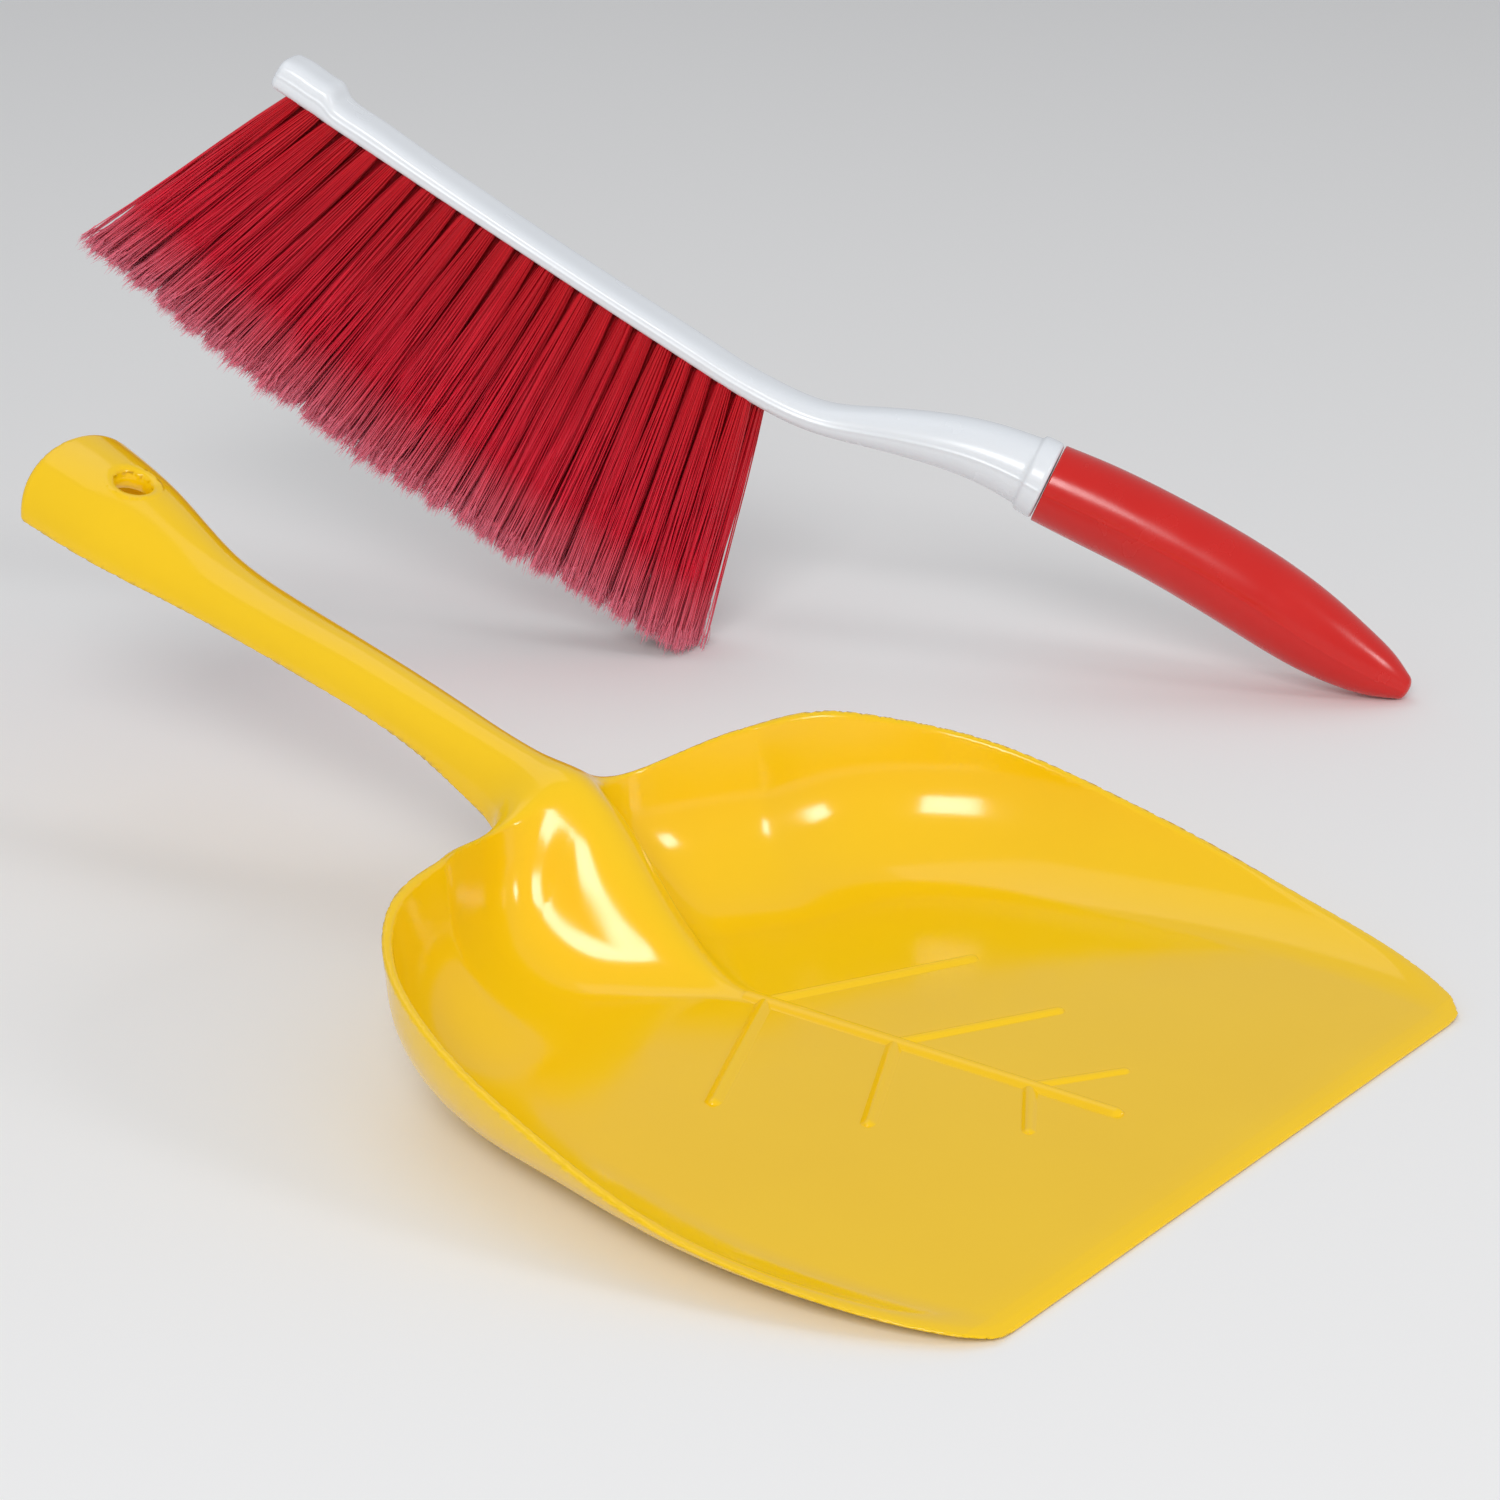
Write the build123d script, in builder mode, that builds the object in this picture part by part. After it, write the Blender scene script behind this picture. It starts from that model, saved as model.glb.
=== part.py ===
from build123d import *
import os
from math import atan2, cos, degrees, hypot, radians, sin, tan

os.makedirs("parts", exist_ok=True)

# All sizes are in millimetres.  The pan's mouth faces -Y, its handle points to +Y,
# and the origin is on the flat underside, below the middle pair of leaf veins.

# ---------------------------------------------------------------
# Dust pan: driving dimensions
# ---------------------------------------------------------------
WALL = 2.4                # walls, handle skin and floor
MOUTH_Y = -96.0           # front edge of the floor
LIP_T = 1.0               # thickness left at the front edge
EDGE_R = 32.4             # outer rounding between the underside and the walls
INNER_R = EDGE_R - WALL
WALL_LEAN = 5.0           # the walls lean outwards, degrees
LEAN = tan(radians(WALL_LEAN))
BLANK_H = 56.0            # height of the tray before its rim is cut
OVER = 4.0                # how far a cutter passes a face

# right-hand half of the flat of the floor, front to back
FLOOR_PLAN = [
    (0.0, -167.0),
    (56.0, -139.0),
    (90.5, -96.0),
    (97.0, -66.0),
    (96.4, -30.0),
    (88.4, 5.0),
    (79.0, 36.0),
    (68.0, 50.5),
    (49.5, 57.5),
    (29.0, 68.0),
    (11.0, 74.3),
    (0.0, 75.2),
]

# height of the rim seen from the side, behind the thinned front lip: (y, z)
RIM = [
    (-91.0, 2.6),
    (-66.0, 6.3),
    (-34.0, 11.6),
    (-3.0, 19.9),
    (28.0, 28.9),
    (54.0, 36.4),
    (77.0, 42.8),
    (88.0, 45.4),
    (97.0, 41.8),
    (106.0, 37.0),
    (130.0, 34.0),
]
CUT_FRONT_Y = -240.0      # the block that trims the rim and the mouth
CUT_TOP_Z = 90.0
CUT_HALF_X = 150.0

# ridge that climbs from the floor and runs on as the handle:
# (y, half width, lower edge z, crest z, shoulder width share, shoulder drop share)
SPINE = [
    (40.0, 3.0, 0.6, 2.7, 0.52, 0.38),
    (50.0, 7.0, 0.6, 4.2, 0.52, 0.38),
    (60.0, 12.0, 0.6, 9.0, 0.52, 0.38),
    (70.0, 17.0, 0.6, 17.5, 0.54, 0.38),
    (80.0, 21.0, 0.6, 29.0, 0.58, 0.38),
    (90.0, 22.0, 0.6, 40.5, 0.64, 0.38),
    (98.0, 19.0, 6.0, 45.8, 0.72, 0.40),
    (106.0, 13.8, 24.0, 48.0, 0.80, 0.42),
    (116.0, 11.0, 32.6, 50.2, 0.84, 0.42),
    (140.0, 10.0, 44.2, 57.0, 0.84, 0.42),
    (172.0, 10.3, 54.8, 66.0, 0.84, 0.42),
    (200.0, 12.2, 62.4, 74.0, 0.84, 0.42),
    (226.0, 15.6, 69.4, 83.4, 0.84, 0.42),
    (250.0, 19.2, 77.0, 94.2, 0.84, 0.42),
    (274.0, 22.2, 85.2, 103.0, 0.84, 0.42),
]
HOLLOW_FROM = 3           # the first section that is open underneath
HOLLOW_LAST = (264.0, 21.0, 81.6, 99.2, 0.84, 0.42)   # the handle's far end is closed
HANDLE_END_R = 1.6
SPINE_FOOT = 0.15

# hanging hole near the end of the handle, square to the crest
HOLE_Y = 252.0
HOLE_Z = 95.2
HOLE_R = 4.8
HOLE_TILT = radians(20.0)
HOLE_MOUTH_R = 6.8        # the hole widens into the crest
HOLE_MOUTH_H = 2.4
BOSS_R = 7.6              # short tube round the hole, under the crest
BOSS_H = 7.0

# leaf veins raised on the floor
VEIN_H = 1.1
VEIN_DRAFT = 28.0
VEIN_SINK = 0.6
MIDRIB = (40.0, -63.0, 2.3)                       # start y, end y, half width
SIDE_VEINS = [                                    # start y, end x, end y, half width
    (38.5, 53.0, 13.0, 1.7),
    (0.0, 40.0, -21.0, 1.6),
    (-38.0, 21.0, -51.5, 1.5),
]

# ---------------------------------------------------------------
# Brush: driving dimensions in its own frame.  X runs along the block
# towards the handle, Y across it, Z away from the bristles.
# ---------------------------------------------------------------
BLOCK_L = 178.0
BLOCK_W = 18.0
BLOCK_T = 7.2
BLOCK_START = -3.0
BLOCK_BASE = 2.6          # height of the underside the bristles leave from
TAB_L = 18.0              # thicker free end of the block
TAB_T = 11.2
CORNER_R = 4.5

COLUMNS = 24              # tufts along the block, three across
FIRST_X = 5.5
LAST_X = 170.7
STAGGER = 1.8             # the middle row stands half a pitch further along than the outer rows
ROW_Y = 5.3
SPLAY_FREE = -23.4        # lean of the first and last columns along the block, degrees
SPLAY_HANDLE = 15.5
SPLAY_SIDE = 3.0          # lean of the outer rows, degrees
TUFT_R = 2.3              # in the drilled hole
TUFT_TIP_R = 4.0
TUFT_SINK = 5.2           # depth of the drilled holes
TUFT_L = 85.2             # free length in the middle of the block
TUFT_L_END = 82.6
TUFT_NECK = 1.5           # the tufts stay tight this far out of the block
ANCHOR_L = 4.3            # flat wire that holds the fold of a tuft
ANCHOR_T = 0.5
ANCHOR_H = 1.2

# oval sections along the neck, collar and grip:
# (x, z of the middle, slope in degrees, half height, half width)
NECK = [
    (166.0, 6.2, 3.0, 3.6, 7.9),
    (180.0, 7.4, 9.0, 4.2, 8.2),
    (193.0, 10.2, 22.0, 4.8, 8.2),
    (207.0, 16.6, 27.0, 6.2, 8.8),
    (222.0, 23.6, 23.0, 7.7, 10.0),
    (240.0, 29.4, 15.0, 9.2, 11.2),
    (259.6, 32.2, 8.0, 11.0, 12.2),
]
COLLAR = [
    (254.0, 31.6, 8.5, 10.8, 12.0),
    (257.0, 31.9, 8.5, 12.2, 12.9),
    (260.0, 32.3, 8.0, 12.5, 13.0),
]
GRIP = [
    (260.0, 32.3, 8.0, 12.5, 13.0),
    (274.0, 34.6, 7.5, 13.0, 13.4),
    (292.0, 37.0, 6.0, 13.2, 13.6),
    (314.0, 38.8, 3.0, 13.4, 13.6),
    (336.0, 39.4, 0.0, 13.3, 13.2),
    (354.0, 39.2, -1.0, 12.1, 11.8),
    (370.0, 39.6, 2.0, 9.2, 9.2),
    (381.0, 40.2, 4.0, 5.6, 5.8),
    (385.6, 40.4, 4.0, 2.4, 2.4),
]
GRIP_END_R = 2.2
TANG_R = 7.0              # core of the stock inside the grip
TANG_START = Vector(256.0, 0.0, 31.8)
TANG_END = Vector(346.0, 0.0, 39.4)

# The brush stands upright behind the pan, on the bristles next to the handle
# and on the end of the grip.
BRUSH_AT = (151.8, 343.0, 167.768)
BRUSH_YAW = radians(-65.0)
BRUSH_TILT = radians(31.164)
BRUSH_PLACE = Plane(
    origin=BRUSH_AT,
    x_dir=(cos(BRUSH_TILT) * cos(BRUSH_YAW), cos(BRUSH_TILT) * sin(BRUSH_YAW), -sin(BRUSH_TILT)),
    z_dir=(sin(BRUSH_TILT) * cos(BRUSH_YAW), sin(BRUSH_TILT) * sin(BRUSH_YAW), cos(BRUSH_TILT)),
).location


# ---------------------------------------------------------------
# Dust pan, one moulding
# ---------------------------------------------------------------
def offset_plan(grow):
    """Right-hand half of the floor's outline moved outwards by grow."""
    moved = []
    for i, (x, y) in enumerate(FLOOR_PLAN):
        before = FLOOR_PLAN[i - 1] if i else (-FLOOR_PLAN[1][0], FLOOR_PLAN[1][1])
        after = FLOOR_PLAN[i + 1] if i + 1 < len(FLOOR_PLAN) else (-FLOOR_PLAN[-2][0], FLOOR_PLAN[-2][1])
        run_x = after[0] - before[0]
        run_y = after[1] - before[1]
        span = hypot(run_x, run_y)
        moved.append((x + grow * run_y / span, y - grow * run_x / span))
    return moved


def leaf_face(grow, height):
    """Closed leaf-shaped face at a height: the floor's outline moved outwards by grow."""
    right = offset_plan(grow)
    left = [(-x, y) for x, y in reversed(right[1:-1])]
    with BuildSketch(Plane.XY.offset(height)) as face:
        with BuildLine():
            Spline(*right, *left, periodic=True)
        make_face()
    return face.sketch


def wall_shift(radius):
    """From the edge of the flat floor to where the leaning wall would meet the floor."""
    return radius * tan(radians((90 - WALL_LEAN) / 2))


def skin_section(half, low, high, shoulder, drop):
    """Outer section of the spine: left foot, left shoulder, crest, right shoulder, right foot."""
    side_x = half * shoulder
    side_z = high - (high - low) * drop
    return [(-half, low), (-side_x, side_z), (0.0, high), (side_x, side_z), (half, low)]


def hollow_section(half, low, high, shoulder, drop):
    """The same section one wall further in, with its feet well below the lower edge."""
    flare = (0.84 - shoulder) / 0.32
    foot = half - WALL * (1.0 + 0.6 * flare)
    side_x = half * shoulder - 0.80 * WALL
    side_z = high - (high - low) * drop - 0.60 * WALL
    below = low - 2.0 * WALL
    return [(-foot, below), (-side_x, side_z), (0.0, high - WALL), (side_x, side_z), (foot, below)]


def upright_face(y, points):
    """A closed face standing across the pan at y."""
    with BuildSketch(Plane(origin=(0, y, 0), x_dir=(1, 0, 0), z_dir=(0, -1, 0))) as face:
        with BuildLine():
            Spline(*points)
            Line(points[-1], points[0])
        make_face()
    return face.sketch


with BuildPart() as cavity:
    add(leaf_face(wall_shift(INNER_R), WALL))
    add(leaf_face(wall_shift(INNER_R) + LEAN * (BLANK_H + OVER - WALL), BLANK_H + OVER))
    loft()
    fillet(cavity.edges().group_by(Axis.Z)[0], INNER_R)

with BuildPart() as trim:
    # everything above the rim line and everything in front of the mouth
    with BuildSketch(Plane.YZ):
        with BuildLine():
            Spline(*RIM)
            Polyline(
                RIM[-1],
                (RIM[-1][0], CUT_TOP_Z),
                (CUT_FRONT_Y, CUT_TOP_Z),
                (CUT_FRONT_Y, -OVER),
                (MOUTH_Y, -OVER),
                (MOUTH_Y, LIP_T),
                RIM[0],
            )
        make_face()
    extrude(amount=CUT_HALF_X, both=True)

with BuildPart() as spine:
    # ridge and handle as one long skin, solid for now
    for y, *shape in SPINE:
        add(upright_face(y, skin_section(*shape)))
    loft()
    fillet(spine.edges().group_by(Axis.Y)[-1], HANDLE_END_R)
    # its foot stays within the thickness of the floor
    split(bisect_by=Plane.XY.offset(SPINE_FOOT), keep=Keep.TOP)

with BuildPart() as hollow:
    # the open underside of the ridge and the handle
    for y, *shape in SPINE[HOLLOW_FROM:-1] + [HOLLOW_LAST]:
        add(upright_face(y, hollow_section(*shape)))
    loft()

hole_plane = Plane(
    origin=(0, HOLE_Y, HOLE_Z),
    x_dir=(1, 0, 0),
    z_dir=(0, -sin(HOLE_TILT), cos(HOLE_TILT)),
)

with BuildPart() as boss:
    with BuildSketch(hole_plane.offset(-BOSS_H)):
        Circle(BOSS_R)
    extrude(amount=BOSS_H - WALL / 2)

with BuildPart() as hole:
    with BuildSketch(hole_plane.offset(-BOSS_H - OVER)):
        Circle(HOLE_R)
    extrude(amount=BOSS_H + OVER)
    # the mouth flares through the crest
    with BuildSketch(hole_plane.offset(-HOLE_MOUTH_H)):
        Circle(HOLE_R)
    with BuildSketch(hole_plane.offset(HOLE_MOUTH_H)):
        Circle(2 * HOLE_MOUTH_R - HOLE_R)
    loft()

with BuildPart() as veins:
    with BuildSketch(Plane.XY.offset(WALL - VEIN_SINK)):
        with Locations((0, (MIDRIB[0] + MIDRIB[1]) / 2)):
            SlotCenterToCenter(MIDRIB[0] - MIDRIB[1], 2 * MIDRIB[2], rotation=90)
        for root_y, tip_x, tip_y, half in SIDE_VEINS:
            run = hypot(tip_x, tip_y - root_y)
            for side in (-1, 1):
                turn = degrees(atan2(tip_y - root_y, side * tip_x))
                with Locations((side * tip_x / 2, (root_y + tip_y) / 2)):
                    SlotCenterToCenter(run, 2 * half, rotation=turn)
    extrude(amount=VEIN_H + VEIN_SINK, taper=VEIN_DRAFT)

with BuildPart() as dust_pan:
    add(leaf_face(wall_shift(EDGE_R), 0))
    add(leaf_face(wall_shift(EDGE_R) + LEAN * BLANK_H, BLANK_H))
    loft()
    fillet(dust_pan.edges().group_by(Axis.Z)[0], EDGE_R)
    add(cavity.part, mode=Mode.SUBTRACT)
    add(trim.part, mode=Mode.SUBTRACT)
    add(spine.part)
    add(hollow.part, mode=Mode.SUBTRACT)
    add(boss.part)
    add(hole.part, mode=Mode.SUBTRACT)
    add(veins.part)

dust_pan.part.label = "dust_pan"
export_step(dust_pan.part, "parts/dust_pan.step")


# ---------------------------------------------------------------
# Brush
# ---------------------------------------------------------------
def oval_face(x, z, slope, half_height, half_width):
    """Oval section of the neck or grip, square to its middle line."""
    lean = radians(slope)
    square = Plane(origin=(x, 0, z), x_dir=(0, 1, 0), z_dir=(cos(lean), 0, sin(lean)))
    with BuildSketch(square) as face:
        Ellipse(half_width, half_height)
    return face.sketch


def tuft_plane(column, row):
    """Plane across a tuft where it leaves the block, facing along its bristles."""
    share = column / (COLUMNS - 1)
    along = radians(SPLAY_FREE + (SPLAY_HANDLE - SPLAY_FREE) * share)
    side = radians(SPLAY_SIDE * row)
    shift = -STAGGER if row else STAGGER
    root = (FIRST_X + (LAST_X - FIRST_X) * share + shift, ROW_Y * row, BLOCK_BASE)
    return Plane(origin=root, x_dir=(0, 1, 0), z_dir=Vector(tan(along), tan(side), -1.0))


def tuft_length(column):
    """The bristle ends follow a slightly bowed line."""
    from_middle = 2.0 * column / (COLUMNS - 1) - 1.0
    return TUFT_L - (TUFT_L - TUFT_L_END) * from_middle ** 2


def place_brush_piece(part, name):
    """Stand a finished brush piece where the brush stands and write its file."""
    placed = part.moved(BRUSH_PLACE)
    placed.label = name
    export_step(placed, "parts/" + name + ".step")


with BuildPart() as tang:
    with BuildSketch(Plane(origin=TANG_START, x_dir=(0, 1, 0), z_dir=TANG_END - TANG_START)):
        Circle(TANG_R)
    extrude(amount=(TANG_END - TANG_START).length)

with BuildPart() as grip_sleeve:
    for oval in GRIP:
        add(oval_face(*oval))
    loft()
    fillet(grip_sleeve.edges().sort_by(Axis.X)[-1], GRIP_END_R)
    add(tang.part, mode=Mode.SUBTRACT)

with BuildPart() as brush_stock:
    # block, then its thicker free end
    for length, thickness, edge_r in ((BLOCK_L - BLOCK_START, BLOCK_T, 3.0), (TAB_L, TAB_T, 2.5)):
        with BuildSketch(Plane.XY.offset(BLOCK_BASE)):
            with Locations((BLOCK_START + length / 2, 0)):
                RectangleRounded(length, BLOCK_W, CORNER_R)
        extrude(amount=thickness)
        fillet(brush_stock.edges().group_by(Axis.Z)[-1], edge_r)
    for ovals in (NECK, COLLAR):
        for oval in ovals:
            add(oval_face(*oval))
        loft()
    add(tang.part)
    # drilled holes for the tufts
    for column in range(COLUMNS):
        for row in (-1, 0, 1):
            with BuildSketch(tuft_plane(column, row).offset(-TUFT_SINK)):
                Circle(TUFT_R)
            extrude(amount=TUFT_SINK + TUFT_NECK, mode=Mode.SUBTRACT)

place_brush_piece(grip_sleeve.part, "grip_sleeve")
place_brush_piece(brush_stock.part, "brush_stock")

for column in range(COLUMNS):
    with BuildPart() as tufts:
        for row in (-1, 0, 1):
            root = tuft_plane(column, row)
            with BuildSketch(root.offset(ANCHOR_H - TUFT_SINK)):
                Circle(TUFT_R)
            extrude(amount=TUFT_SINK - ANCHOR_H + TUFT_NECK)
            with BuildSketch(root.offset(TUFT_NECK)):
                Circle(TUFT_R)
            with BuildSketch(root.offset(tuft_length(column))):
                Circle(TUFT_TIP_R)
            loft(ruled=True)
    place_brush_piece(tufts.part, "tufts_%02d" % (column + 1))

for row, side in ((-1, "left"), (0, "middle"), (1, "right")):
    with BuildPart() as anchors:
        for column in range(COLUMNS):
            with BuildSketch(tuft_plane(column, row).offset(-TUFT_SINK)):
                Rectangle(ANCHOR_L, ANCHOR_T)
            extrude(amount=ANCHOR_H)
    place_brush_piece(anchors.part, "anchors_" + side)
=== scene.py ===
from math import cos, hypot, pi, radians, sin, sqrt, tan

import bpy
import numpy as np
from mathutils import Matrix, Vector, kdtree


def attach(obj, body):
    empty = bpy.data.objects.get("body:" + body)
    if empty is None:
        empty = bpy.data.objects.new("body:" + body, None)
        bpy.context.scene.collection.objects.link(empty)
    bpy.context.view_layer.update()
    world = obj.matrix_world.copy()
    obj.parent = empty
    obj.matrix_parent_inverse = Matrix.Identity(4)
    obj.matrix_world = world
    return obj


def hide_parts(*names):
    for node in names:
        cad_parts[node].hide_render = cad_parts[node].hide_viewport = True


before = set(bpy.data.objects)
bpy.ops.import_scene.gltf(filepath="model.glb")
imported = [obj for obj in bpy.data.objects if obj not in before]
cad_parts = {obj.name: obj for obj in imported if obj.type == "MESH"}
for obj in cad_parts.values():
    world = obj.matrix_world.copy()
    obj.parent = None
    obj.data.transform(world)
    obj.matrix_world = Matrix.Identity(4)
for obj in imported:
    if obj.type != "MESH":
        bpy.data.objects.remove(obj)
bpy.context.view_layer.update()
scene = bpy.context.scene
MM = 0.001

# Shapes are worked out in millimetres and turned to metres when the meshes are made.
# The pan's mouth faces -Y and its handle points to +Y.


# ------------------------------------------------------------------
# Mesh helpers
# ------------------------------------------------------------------
def spline(knots, values, at, loop=False):
    """Smooth cubic curve through the values at the knots, read off at other places.

    The ends are straight, or run into each other when the curve is a loop.
    """
    knots = np.asarray(knots, float)
    values = np.asarray(values, float).reshape(len(knots), -1)
    at = np.asarray(at, float)
    count = len(knots)
    gap = np.diff(knots)
    matrix = np.zeros((count, count))
    right = np.zeros((count, values.shape[1]))
    for i in range(1, count - 1):
        matrix[i, i - 1:i + 2] = gap[i - 1], 2 * (gap[i - 1] + gap[i]), gap[i]
        ahead = (values[i + 1] - values[i]) / gap[i]
        behind = (values[i] - values[i - 1]) / gap[i - 1]
        right[i] = 6 * (ahead - behind)
    matrix[0, 0] = matrix[-1, -1] = 1
    if loop:
        matrix[0, 0] = 2 * (gap[-1] + gap[0])
        matrix[0, 1] = gap[0]
        matrix[0, -2] = gap[-1]
        ahead = (values[1] - values[0]) / gap[0]
        behind = (values[0] - values[-2]) / gap[-1]
        right[0] = 6 * (ahead - behind)
        matrix[-1, 0] = -1
    bend = np.linalg.solve(matrix, right)
    i = np.clip(np.searchsorted(knots, at, side="right") - 1, 0, count - 2)
    step = gap[i][..., None]
    after = (at - knots[i])[..., None]
    before = step - after
    curve = (bend[i] * before ** 3 + bend[i + 1] * after ** 3) / (6 * step)
    line = (values[i] / step - bend[i] * step / 6) * before
    line += (values[i + 1] / step - bend[i + 1] * step / 6) * after
    return curve + line


def make_piece(name, points, faces, material, body):
    """Smooth mesh object from points in millimetres, riding on a body."""
    mesh = bpy.data.meshes.new(name)
    mesh.from_pydata((np.asarray(points, float) * MM).tolist(), [], faces)
    mesh.validate()
    mesh.polygons.foreach_set("use_smooth", [True] * len(mesh.polygons))
    mesh.materials.append(material)
    piece = bpy.data.objects.new(name, mesh)
    scene.collection.objects.link(piece)
    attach(piece, body)
    return piece


def tube_faces(rings, around):
    """Quads between neighbouring closed rings."""
    ring = np.arange(rings - 1)[:, None] * around
    spot = np.arange(around)[None, :]
    after = (spot + 1) % around
    quads = np.stack([ring + spot, ring + after, ring + around + after, ring + around + spot], -1)
    return quads.reshape(-1, 4)


# ------------------------------------------------------------------
# Materials
# ------------------------------------------------------------------
PLASTIC_IOR = 1.5
CLOUD_SCALE = 22.0        # unevenness a few centimetres across
CLOUD_DETAIL = 5.0
SPECK_SCALE = 90.0        # unevenness of the gloss
SPECK_DETAIL = 6.0
GRAIN_SCALE = 1400.0      # grain under a millimetre across
GRAIN_DETAIL = 2.0
WAVE_HEIGHT = 0.0006      # metres, as bump distances are
GRAIN_HEIGHT = 0.0001


def object_noise(tree, where, scale, detail):
    """Noise texture that sits on the object's own coordinates."""
    noise = tree.nodes.new("ShaderNodeTexNoise")
    noise.inputs["Scale"].default_value = scale
    noise.inputs["Detail"].default_value = detail
    tree.links.new(where.outputs["Object"], noise.inputs["Vector"])
    return noise


def bump(tree, height, strength, distance):
    """Bump node driven by a noise texture."""
    made = tree.nodes.new("ShaderNodeBump")
    made.inputs["Strength"].default_value = strength
    made.inputs["Distance"].default_value = distance
    tree.links.new(height.outputs["Fac"], made.inputs["Height"])
    return made


def plastic(name, base, light, roughness, spread, wave, grain):
    """Moulded plastic: slight unevenness of colour and gloss, a faint surface wave and a fine grain."""
    made = bpy.data.materials.new(name)
    made.use_nodes = True
    tree = made.node_tree
    shader = tree.nodes["Principled BSDF"]
    shader.inputs["IOR"].default_value = PLASTIC_IOR
    where = tree.nodes.new("ShaderNodeTexCoord")
    cloud = object_noise(tree, where, CLOUD_SCALE, CLOUD_DETAIL)
    tint = tree.nodes.new("ShaderNodeMix")
    tint.data_type = "RGBA"
    tint.inputs["A"].default_value = (*base, 1)
    tint.inputs["B"].default_value = (*light, 1)
    tree.links.new(cloud.outputs["Fac"], tint.inputs["Factor"])
    tree.links.new(tint.outputs["Result"], shader.inputs["Base Color"])
    gloss = tree.nodes.new("ShaderNodeMapRange")
    gloss.inputs["From Min"].default_value = 0.3
    gloss.inputs["From Max"].default_value = 0.7
    gloss.inputs["To Min"].default_value = roughness - spread
    gloss.inputs["To Max"].default_value = roughness + spread
    speck = object_noise(tree, where, SPECK_SCALE, SPECK_DETAIL)
    tree.links.new(speck.outputs["Fac"], gloss.inputs["Value"])
    tree.links.new(gloss.outputs["Result"], shader.inputs["Roughness"])
    swell = bump(tree, cloud, wave, WAVE_HEIGHT)
    skin = bump(tree, object_noise(tree, where, GRAIN_SCALE, GRAIN_DETAIL), grain, GRAIN_HEIGHT)
    tree.links.new(swell.outputs["Normal"], skin.inputs["Normal"])
    tree.links.new(skin.outputs["Normal"], shader.inputs["Normal"])
    return made


yellow = plastic("yellow_plastic", (0.93, 0.57, 0.002), (0.97, 0.62, 0.004), 0.15, 0.03, 0.10, 0.04)
white = plastic("white_plastic", (0.79, 0.83, 0.88), (0.86, 0.89, 0.93), 0.24, 0.05, 0.12, 0.08)
red = plastic("red_plastic", (0.58, 0.008, 0.006), (0.68, 0.014, 0.009), 0.24, 0.05, 0.14, 0.10)


def bristle_material():
    """Dyed filament, deep red at the root and worn to pink where the ends are split."""
    made = bpy.data.materials.new("bristle_filament")
    made.use_nodes = True
    tree = made.node_tree
    shader = tree.nodes["Principled BSDF"]
    shader.inputs["Roughness"].default_value = 0.38
    along = tree.nodes.new("ShaderNodeAttribute")
    along.attribute_name = "along"
    ramp = tree.nodes.new("ShaderNodeValToRGB")
    ramp.color_ramp.elements[0].position = 0.0
    ramp.color_ramp.elements[0].color = (0.74, 0.004, 0.016, 1)
    ramp.color_ramp.elements[1].position = 1.0
    ramp.color_ramp.elements[1].color = (0.95, 0.26, 0.36, 1)
    middle = ramp.color_ramp.elements.new(0.66)
    middle.color = (0.88, 0.014, 0.050, 1)
    tree.links.new(along.outputs["Fac"], ramp.inputs["Fac"])
    tone = tree.nodes.new("ShaderNodeAttribute")
    tone.attribute_name = "tone"
    shade = tree.nodes.new("ShaderNodeMix")
    shade.data_type = "RGBA"
    shade.blend_type = "MULTIPLY"
    shade.inputs["Factor"].default_value = 1.0
    levels = tree.nodes.new("ShaderNodeValToRGB")
    levels.color_ramp.elements[0].color = (0.70, 0.70, 0.70, 1)
    levels.color_ramp.elements[1].color = (1.0, 1.0, 1.0, 1)
    tree.links.new(tone.outputs["Fac"], levels.inputs["Fac"])
    tree.links.new(ramp.outputs["Color"], shade.inputs["A"])
    tree.links.new(levels.outputs["Color"], shade.inputs["B"])
    tree.links.new(shade.outputs["Result"], shader.inputs["Base Color"])
    return made


def wire_material():
    """Flat steel wire with drawn streaks."""
    made = bpy.data.materials.new("anchor_wire")
    made.use_nodes = True
    tree = made.node_tree
    shader = tree.nodes["Principled BSDF"]
    shader.inputs["Metallic"].default_value = 1.0
    where = tree.nodes.new("ShaderNodeTexCoord")
    streak = tree.nodes.new("ShaderNodeTexNoise")
    streak.inputs["Scale"].default_value = 900.0
    tree.links.new(where.outputs["Object"], streak.inputs["Vector"])
    tint = tree.nodes.new("ShaderNodeValToRGB")
    tint.color_ramp.elements[0].color = (0.45, 0.45, 0.46, 1)
    tint.color_ramp.elements[1].color = (0.72, 0.72, 0.73, 1)
    tree.links.new(streak.outputs["Fac"], tint.inputs["Fac"])
    tree.links.new(tint.outputs["Color"], shader.inputs["Base Color"])
    level = tree.nodes.new("ShaderNodeMapRange")
    level.inputs["To Min"].default_value = 0.25
    level.inputs["To Max"].default_value = 0.45
    tree.links.new(streak.outputs["Fac"], level.inputs["Value"])
    tree.links.new(level.outputs["Result"], shader.inputs["Roughness"])
    return made


filament = bristle_material()
wire = wire_material()

# ------------------------------------------------------------------
# Dust pan: one moulded skin
# ------------------------------------------------------------------
WALL = 2.4
EDGE_R = 32.4             # outside rounding between the floor and the wall
LEAN = radians(5.0)       # how far the wall leans out
MOUTH_Y = -96.0
MOUTH_EDGE_R = 0.4
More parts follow.
